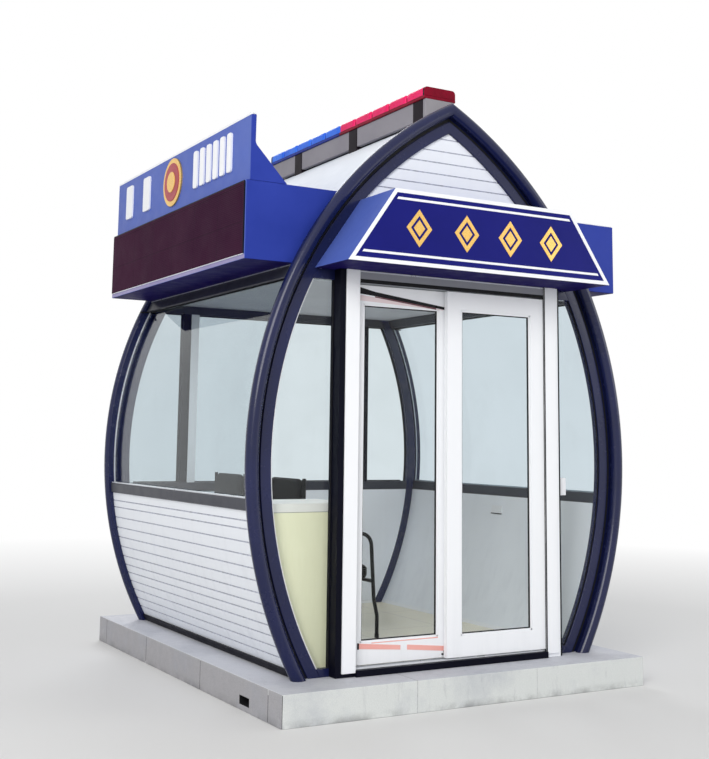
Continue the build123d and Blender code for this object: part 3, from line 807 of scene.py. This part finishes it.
def signboard():
    """Board over the left box: face in a lighter blue as painted light, white cap strip, plain bars and a
    gold-rimmed boss.
    """
    dressed("left_signboard", (SIGN_BLUE,), "sign_blue")
    low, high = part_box("left_signboard")
    form = Form("left_board_face", SIGN_PAINTED_LIGHT, WHITE, GOLD, BOSS_RED)
    panel = rounded((low.y + 0.004, low.z + 0.003), (high.y - 0.004, high.z - 0.012), 0.002, 2)
    form.section(panel, "x", BOARD_X - 0.0015, BOARD_X + 0.002)
    form.box((BOARD_X - 0.003, low.y, high.z - 0.013), (BOARD_X + 0.028, high.y, high.z), 0.002, 1)
    for y, wide in BOARD_BARS:
        bar = rounded((y - wide / 2, BAR_Z - BAR_HALF), (y + wide / 2, BAR_Z + BAR_HALF), 0.014, 3)
        form.section(bar, "x", BOARD_X - 0.011, BOARD_X, 1)
    for reach, near, far, material in BOSS_DISCS:
        rings = []
        for out, wide in ((near, reach), (far - 0.002, reach), (far, reach * 0.965)):
            rings.append([(BOARD_X - out, BOSS_Y + wide * math.cos(a), BOSS_Z + wide * math.sin(a))
                          for a in around(40)])
        form.rings(rings, material)
    form.done("sign_blue")


def box_edging():
    """Pale edging on top of the right sign box, the side that has no board over its box."""
    low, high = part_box("right_sign_box")
    bottom, top = high.z - 0.001, high.z + 0.005
    form = Form("right_box_edging", WHITE)
    form.box((high.x - 0.016, low.y, bottom), (high.x - 0.002, high.y, top), 0.001)
    form.box((high.x - 0.300, low.y, bottom), (high.x - 0.016, low.y + 0.014, top), 0.001)
    form.done("sign_blue", "right_signboard")


def side_signs():
    """Sign box, screen and trim on each side, and the signboard over the left box."""
    for hand, side in (("left", -1), ("right", 1)):
        # Sideways faces take the lighter blue as painted light, the undersides the deeper navy as painted
        # shade
        dressed(hand + "_sign_box", (SIGN_BLUE, SIGN_PAINTED_LIGHT, SIGN_PAINTED_SHADE), "sign_blue", 0.004,
                choose=lambda centre, normal: 1 if abs(normal.x) > 0.8 else 2 * (normal.z < -0.8))
        dressed(hand + "_screen", (SCREEN,), "screen_face", 0.001)
        low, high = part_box(hand + "_screen")
        form = Form(hand + "_screen_trim", DARK_NAVY, TRIM, LIP)
        near, far = side * 1.1995, side * 1.2058
        # Dark navy strip over the screen: partly the frame, partly painted shade along the screen's top
        form.box((near, low.y, high.z - 0.009), (far, high.y, high.z + 0.006), 0.001)
        for y in (low.y, high.y):
            form.box((near, y - 0.004, low.z), (far, y + 0.004, high.z), 0.001)
        form.box((near, low.y, low.z - 0.004), (far, high.y, low.z + 0.001), 0.001, 1)
        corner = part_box(hand + "_sign_box")[0]
        form.box((side * 1.199, corner.y + 0.004, corner.z + 0.003),
                 (side * 1.2012, high.y + 0.008, low.z - 0.004), 0.0005, 2)
        form.done("sign_blue")
    signboard()
    box_edging()


LENS_RADIUS = 0.022
LENS_GAP = 0.008
LENS_ROUNDING = [LENS_RADIUS * k / 5 for k in range(6)]


def light_bar():
    """Ten rounded lens blocks and their end caps on a rail, with brackets and grey panels under it."""
    caps = Form("light_bar_ends", RED_LENS_SHADE, BLUE_LENS, RUBBER)
    ends = [(d, LENS_RADIUS - math.sqrt(LENS_RADIUS ** 2 - (LENS_RADIUS - d) ** 2)) for d in LENS_ROUNDING]
    for kind, (colour, lens, core) in enumerate((("red", RED_LENS, RED_LENS_SHADE), ("blue", BLUE_LENS, BLUE_LENS_SHADE))):
        node = "light_bar_" + colour
        low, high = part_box(node)
        form = Form(node + "_lenses", lens, core)
        pitch = (high.y - low.y + LENS_GAP) / 5
        outline = rounded((low.x, low.z - LENS_RADIUS), (high.x, high.z), LENS_RADIUS, 5)

        def shrunk(y, inset):
            across = 1 - inset / high.x
            rising = 1 - inset / (high.z - low.z)
            return [(x * across, y, low.z + (max(z, low.z) - low.z) * rising) for x, z in outline]
        for i in range(5):
            start = low.y + i * pitch
            stop = start + pitch - LENS_GAP
            form.rings([shrunk(start + d, inset) for d, inset in ends]
                       + [shrunk(stop - d, inset) for d, inset in reversed(ends)])
        # Inner core in the deeper colour shows in the gaps between blocks: partly lens colour, partly painted
        # shade
        form.rings([shrunk(low.y + LENS_RADIUS, 0.012), shrunk(high.y - LENS_RADIUS, 0.012)], 1)
        form.done(colour + "_lens", node)
        inward = -1 if kind else 1
        edge = high.y + 0.003 if kind else low.y - 0.003
        face = ordered(edge, inward, 0.0, 0.004)
        # The front end cap takes the deep red as painted shade; the rear cap keeps the blue lens colour
        caps.rings([shrunk(face[0], 0.002), shrunk(face[1], 0.001)], kind)
        caps.rings([shrunk(y, 0.0006) for y in ordered(edge, inward, 0.004, 0.016)], 2)
    caps.done("red_lens")
    middle = sum(corner.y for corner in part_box("light_bar_rail")) / 2
    # Rail halves in deep red and deep blue: partly lens colour, partly painted shade under the blocks
    dressed("light_bar_rail", (RED_LENS_SHADE, BLUE_LENS_SHADE), "navy_paint", scores=(("y", middle, 0.006, 0.003),),
            choose=lambda centre, normal: centre.y > middle)
    dressed("light_bar_brackets", (BRACKET,), "navy_paint", 0.002)
    dressed("light_bar_panels", (PANEL_GREY,), "grey_paint", 0.002)


CHAIR_PLACES = ((-0.230, FRONT_Y + 1.008), (-0.230, FRONT_Y + 1.796))
FLOOR_TOP = 0.172
TUBE_RADIUS = 0.011
CHAIR_HALF = 0.468 / 2 - TUBE_RADIUS
CHAIR_BACK_X = -0.250 + 0.045 / 2
CHAIR_FRONT_X = 0.250 + TUBE_RADIUS - 0.022
FOOT_X = 0.261
ARM_LEAN = 0.024
PIPING_RADIUS = 0.0028
ARM_Z = FLOOR_TOP + 0.590
SPLAY_Z = FLOOR_TOP + 0.215
SEAT_Z = FLOOR_TOP + 0.330
BACK_TOP_Z = FLOOR_TOP + 0.905


def filleted(points, radii):
    """Path along points with its inner corners rounded."""
    points = [Vector(point) for point in points]
    path = points[:1]
    for before, corner, after, radius in zip(points, points[1:], points[2:], radii):
        a, b = ((point - corner).normalized() for point in (before, after))
        half = a.angle(b) / 2
        centre = corner + (a + b).normalized() * (radius / math.sin(half))
        start, stop = (corner + way * (radius / math.tan(half)) - centre for way in (a, b))
        sweep = start.angle(stop)
        for share in (k / 8 for k in range(9)):
            turned = start * math.sin((1 - share) * sweep) + stop * math.sin(share * sweep)
            path.append(centre + turned / math.sin(sweep))
    return path + points[-1:]


def chair_frames():
    """Bent black tube frames of both chairs, with rubber feet."""
    form = Form("chair_tube_frames", TUBE, RUBBER)
    arm_x = CHAIR_FRONT_X - ARM_LEAN
    tube_z = SEAT_Z - TUBE_RADIUS
    leg_x = CHAIR_FRONT_X - ARM_LEAN * (tube_z - SPLAY_Z) / (ARM_Z - SPLAY_Z)
    bends = ((FOOT_X, FLOOR_TOP), (FOOT_X, SPLAY_Z - 0.090), (CHAIR_FRONT_X, SPLAY_Z), (arm_x, ARM_Z),
             (CHAIR_BACK_X, ARM_Z))
    for x, y in CHAIR_PLACES:
        for side in (y - CHAIR_HALF, y + CHAIR_HALF):
            form.tube(filleted([(x + px, side, pz) for px, pz in bends], (0.06, 0.06, 0.07)), TUBE_RADIUS)
            back = x + CHAIR_BACK_X
            form.tube([(back, side, FLOOR_TOP), (back, side, BACK_TOP_Z)], TUBE_RADIUS)
            for px in (x + FOOT_X, back):
                form.tube([(px, side, FLOOR_TOP), (px, side, FLOOR_TOP + 0.022)], TUBE_RADIUS + 0.002, 16, 1)
        for px in (x + CHAIR_BACK_X, x + leg_x):
            form.tube([(px, y - CHAIR_HALF, tube_z), (px, y + CHAIR_HALF, tube_z)], TUBE_RADIUS)
    form.done("chair_tube", "chair_frames", smooth=40)


def pad_block(low, high, corner, edge, thin):
    """Mesh of a block with rounded corners, seen along its thin axis, and softened rims."""
    form = Form("pad_block")
    a, b = (k for k in range(3) if k != thin)
    middle = [(low[k] + high[k]) / 2 for k in (a, b)]
    half = (high[a] - middle[0], high[b] - middle[1])
    rims = []
    for k in range(4, -1, -1):
        turn = math.radians(22.5 * k)
        rims.append((low[thin] + edge * (1 - math.sin(turn)), edge * (1 - math.cos(turn))))
    rims += [(low[thin] + high[thin] - depth, cut) for depth, cut in reversed(rims)]
    outline = rounded((low[a], low[b]), (high[a], high[b]), corner, 6)
    form.rings([[spot(thin, depth, [m + (p - m) * (1 - cut / h) for p, m, h in zip(pair, middle, half)])
                 for pair in outline] for depth, cut in rims])
    return form.baked()


def held(vertices, low, high):
    """Keeps vertices inside a box."""
    for vertex in vertices:
        for k in range(3):
            vertex.co[k] = min(max(vertex.co[k], low[k]), high[k])


def stuffed(name, low, high, corner, thin, swell):
    """Pad that cloth pressure swells inside its box: remeshed, inflated, held and smoothed."""
    slim_low, slim_high = Vector(low), Vector(high)
    slim_low[thin] += swell * (0.15 if thin == 2 else 0.6)
    slim_high[thin] -= swell
    edge = min(0.018, (slim_high - slim_low)[thin] * 0.42)
    pad = added(name, pad_block(slim_low, slim_high, corner, edge, thin))
    remesh = pad.modifiers.new("remesh", "REMESH")
    remesh.mode = "VOXEL"
    remesh.voxel_size = 0.008
    settle(pad)
    rest = [vertex.co.copy() for vertex in pad.data.vertices]
    cloth = pad.modifiers.new("cloth", "CLOTH").settings
    cloth.use_pressure = True
    cloth.uniform_pressure_force = 4.0
    cloth.effector_weights.gravity = 0.0
    for number in range(1, 21):
        scene.frame_set(number)
    settle(pad)
    scene.frame_set(1)
    for vertex, start in zip(pad.data.vertices, rest):
        move = vertex.co - start
        if move.length > swell:
            vertex.co = start + move.normalized() * swell
    held(pad.data.vertices, low, high)
    pad.modifiers.new("smooth", "SMOOTH").iterations = 3
    pad.modifiers.new("rounder", "SUBSURF").levels = 1
    settle(pad)
    pad.data.shade_smooth()
    return pad


def seam_round(form, pad, low, high, corner, thin, depth):
    """Piping sewn round a pad, a fixed depth along its thin axis."""
    a, b = (k for k in range(3) if k != thin)
    outline = rounded((low[a], low[b]), (high[a], high[b]), corner, 8)
    path = [pad.closest_point_on_mesh(Vector(spot(thin, depth, pair)))[1] for pair in outline]
    form.tube(path + path[:1], PIPING_RADIUS, 8)


def chair_pads():
    """Seat and back pads of both chairs: stuffed black fabric with piping."""
    half = 0.424 / 2
    seat = ((-0.205, -half, SEAT_Z), (0.228, half, SEAT_Z + 0.085))
    back = ((-0.250, -half, BACK_TOP_Z - 0.260), (-0.205, half, BACK_TOP_Z))
    kinds = (("seat", seat, 0.045, 2, 0.010, 0.72), ("back", back, 0.055, 0, 0.007, 0.5))
    for kind, (low, high), corner, thin, swell, share in kinds:
        name = "chair_" + kind + "_"
        first = stuffed(name + "1", low, high, corner, thin, swell)
        form = Form(name + "piping", FABRIC)
        seam_round(form, first, low, high, corner, thin, low[thin] + (high[thin] - low[thin]) * share)
        held(form.mesh.verts, low, high)
        cord = form.baked()
        first.data.materials.clear()
        first.data.materials.append(FABRIC)
        for number, (x, y) in enumerate(CHAIR_PLACES, 1):
            pad = first if number == 1 else added(name + "2", first.data.copy())
            trim = added(name + "piping_" + str(number), cord.copy())
            for piece in (pad, trim):
                piece.location = (x, y, 0)
                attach(piece, "booth")
            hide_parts("chair_pads")


def furniture():
    """Desk, chairs, control box, and the small plate on the right wall."""
    slab_low = PLINTH_TOP + 0.787
    # The joint under the desk top is scored and painted black: a painted shadow line under the top
    dressed("desk", (DESK, DESK_TOP, RUBBER), "desk_board", choose=lambda centre, normal: centre.z > slab_low,
            scores=(("z", slab_low, 0.003, 0.002, 2),))
    dressed("control_box", (PLASTIC,), "white_plastic", 0.004, scores=(("y", -1.004, 0.0015, 0.001),))
    plate = Form("wall_plate", PLASTIC, RUBBER)
    ends = (-0.042, 0.064)
    strip(plate, 1, 0.691, 0.738, BAND_OUTER, BAND_OUTER - 0.006, ends)
    strip(plate, 1, 0.686, 0.691, BAND_OUTER, BAND_OUTER - 0.008, ends, 1)
    plate.done("white_plastic")
    chair_frames()
    chair_pads()


def sidelight_beads():
    """Sealant lines round the fixed panes beside the door, the right one black as painted shade, and their
    rubber at the posts.
    """
    form = Form("sidelight_beads", WHITE, RUBBER)
    near, far = FRONT_Y + FACE_SET - BEAD_PROUD, FRONT_Y + FACE_SET
    for side in (-1, 1):
        # The bead is white on the left and black on the right: the black is painted shade
        strip(form, side, BOTTOM_RAIL, HEAD_RISE, BAND_INNER, BAND_INNER - BEAD, (near, far), int(side > 0))
        form.box((side * POST_OUTER, near, PLINTH_TOP + BOTTOM_RAIL),
                 (side * (POST_OUTER + BEAD), far, PLINTH_TOP + HEAD_RISE), 0.001, 1)
    form.done("white_paint")


def doorway():
    """Posts, covers, header, track, leaves and sidelights."""
    wrap_end = POST_OUTER - 0.011
    dressed("door_posts", (DARK_NAVY, WHITE), "navy_paint", 0.002, cuts=(("x", wrap_end),),
            choose=lambda centre, normal: 0 < centre.x < wrap_end and normal.y < -0.5)
    # The right cover's left side face is black: painted shadow in the gap beside the leaf
    dressed("post_covers", (WHITE, RUBBER), "aluminium_trim",
            choose=lambda centre, normal: centre.x > 0 and normal.x < -0.9)
    dressed("door_header", (GREY,), "grey_paint")
    low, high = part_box("door_header")
    left, right = low.x + 0.003, high.x - 0.003
    form = Form("door_header_lines", TRIM, RUBBER)
    form.box((left, low.y - 0.0015, high.z - 0.008), (right, low.y + 0.001, high.z - 0.001), 0.0007)
    # Black strip at the header's foot: partly a brush seal, partly painted shadow of the gap over the leaves
    form.box((left, low.y - 0.001, low.z), (right, low.y + 0.001, low.z + 0.020), 0.0005, 1)
    form.done("aluminium_trim")
    dressed("door_track", (DARK_NAVY, TRIM), "navy_paint", 0.0015,
            choose=lambda centre, normal: centre.z > PLINTH_TOP + 0.0325)
    leaf("right")
    leaf("left")
    leaf_film()
    dressed("sidelight_rails", (NAVY,), "navy_paint", 0.002)
    finish_node("sidelight_glass", DOOR_GLASS)
    sidelight_beads()


def rear_end():
    """Rear wall, rails, posts and panes with their rubber lines."""
    flat_boards("rear_wall", BOTTOM_RAIL, SILL_RISE, SIDE_SEAMS, REAR_Y, -1)
    rail_top = PLINTH_TOP + BOTTOM_RAIL + 0.001
    dressed("rear_rails", (SLATE, WHITE), "slate_paint", 0.002,
            choose=lambda centre, normal: normal.y < -0.5 and centre.z < rail_top)
    split = HALF_DOOR + 0.056
    dressed("rear_posts", (DARK_NAVY, WHITE), "navy_paint", 0.002, cuts=(("x", -split), ("x", split)),
            choose=lambda centre, normal: abs(centre.x) < split and normal.y < 0.5)
    finish_node("rear_glass", REAR_GLASS)
    form = Form("rear_glass_beads", RUBBER)
    low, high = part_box("rear_glass")
    sill, head = PLINTH_TOP + SILL_TOP, PLINTH_TOP + HEAD_RISE
    for near, far in ((low.y - BEAD_PROUD, low.y), (high.y, high.y + BEAD_PROUD)):
        for side in (-1, 1):
            strip(form, side, SILL_TOP, HEAD_RISE, BAND_INNER, BAND_INNER - BEAD, (near, far))
            for x, outward in ((POST_OUTER, BEAD), (HALF_DOOR, -BEAD)):
                form.box((side * x, near, sill), (side * (x + outward), far, head))
        for left, right in ((-HALF_DOOR, HALF_DOOR), (-1.0, -POST_OUTER), (POST_OUTER, 1.0)):
            for z in (sill, head - BEAD):
                form.box((left, near, z), (right, far, z + BEAD))
    form.done("white_plastic")


AMBIENT = 0.56
LAMPS = (("key", (-8.0, -9.0, 6.5), 7.0, 865, (1.0, 0.985, 0.96)),
         ("fill", (8.0, -6.0, 4.0), 5.0, 130, (0.94, 0.97, 1.0)),
         ("back", (3.0, 9.0, 7.0), 5.0, 300, (0.96, 0.98, 1.0)))
LAMP_TARGET = Vector((0, 0, 1.3))
FLOOR_HALF = 40.0


def stage():
    """Pale floor that fades into a white background, and soft lamps."""
    s = Shader("stage_floor", Roughness=0.9)
    s.colour(rgb(226, 226, 226))
    reach = s.node("ShaderNodeVectorMath", {0: s.place}, operation="LENGTH").outputs["Value"]
    white = s.node("ShaderNodeEmission", {"Color": (1, 1, 1, 1), "Strength": 1.0})
    s.blend(s.math("MULTIPLY", s.span(reach, 3.5, 9.0), s.seen()), white)
    data = bpy.data.meshes.new("floor_plane")
    corners = [(FLOOR_HALF * x, FLOOR_HALF * y, 0) for x, y in ((-1, -1), (1, -1), (1, 1), (-1, 1))]
    data.from_pydata(corners, [], [(0, 1, 2, 3)])
    data.materials.append(s.material)
    added("floor_plane", data)

    scene.world = bpy.data.worlds.new("studio")
    scene.world.use_nodes = True
    air = Nodes(scene.world.node_tree)
    background = air.tree.nodes["Background"].inputs
    air.feed(background["Strength"], air.span(air.seen(), 0.0, 1.0, AMBIENT, 1.0))
    air.feed(background["Color"], (1, 1, 1, 1))

    for name, place, size, power, colour in LAMPS:
        light = bpy.data.lights.new(name, "AREA")
        light.shape = "DISK"
        light.size = size
        light.energy = power
        light.color = colour
        lamp = added(name, light)
        lamp.location = place
        lamp.rotation_euler = (LAMP_TARGET - Vector(place)).to_track_quat("-Z", "Y").to_euler()


def camera():
    """Camera at the photograph's angle."""
    yaw, pitch, roll = (math.radians(a) for a in (29.773, 7.737, 0.753))
    ahead = Vector((math.sin(yaw) * math.cos(pitch), math.cos(yaw) * math.cos(pitch), math.sin(pitch)))
    level_right = Vector((math.cos(yaw), -math.sin(yaw), 0))
    level_up = level_right.cross(ahead)
    right = math.cos(roll) * level_right + math.sin(roll) * level_up
    up = -math.sin(roll) * level_right + math.cos(roll) * level_up
    data = bpy.data.cameras.new("camera")
    data.sensor_fit = "VERTICAL"
    data.sensor_height = 36
    data.lens = 55.535
    data.shift_x = 0.00285
    data.shift_y = -0.13048
    scene.camera = added("camera", data)
    turn = Matrix((right, up, -ahead)).transposed().to_4x4()
    scene.camera.matrix_world = Matrix.Translation((-3.5672, -6.1856, 1.2997)) @ turn


camera()
stage()
plinth_stone()
finish_node("floor", TILES)
finish_node("ceiling", CEILING_PAINTED_SHADE)
arch("front_arch", FRONT_Y, 1)
arch("rear_arch", REAR_Y, -1)
side_shell()
roof_skin()
for gable, end_y, inward in (("front_gable", FRONT_Y, 1), ("rear_gable", REAR_Y, -1)):
    flat_boards(gable, SIGN_RISE, GABLE_TOP, GABLE_SEAMS, end_y, inward)
doorway()
rear_end()
front_sign()
side_signs()
light_bar()
furniture()

scene.view_settings.view_transform = "Standard"
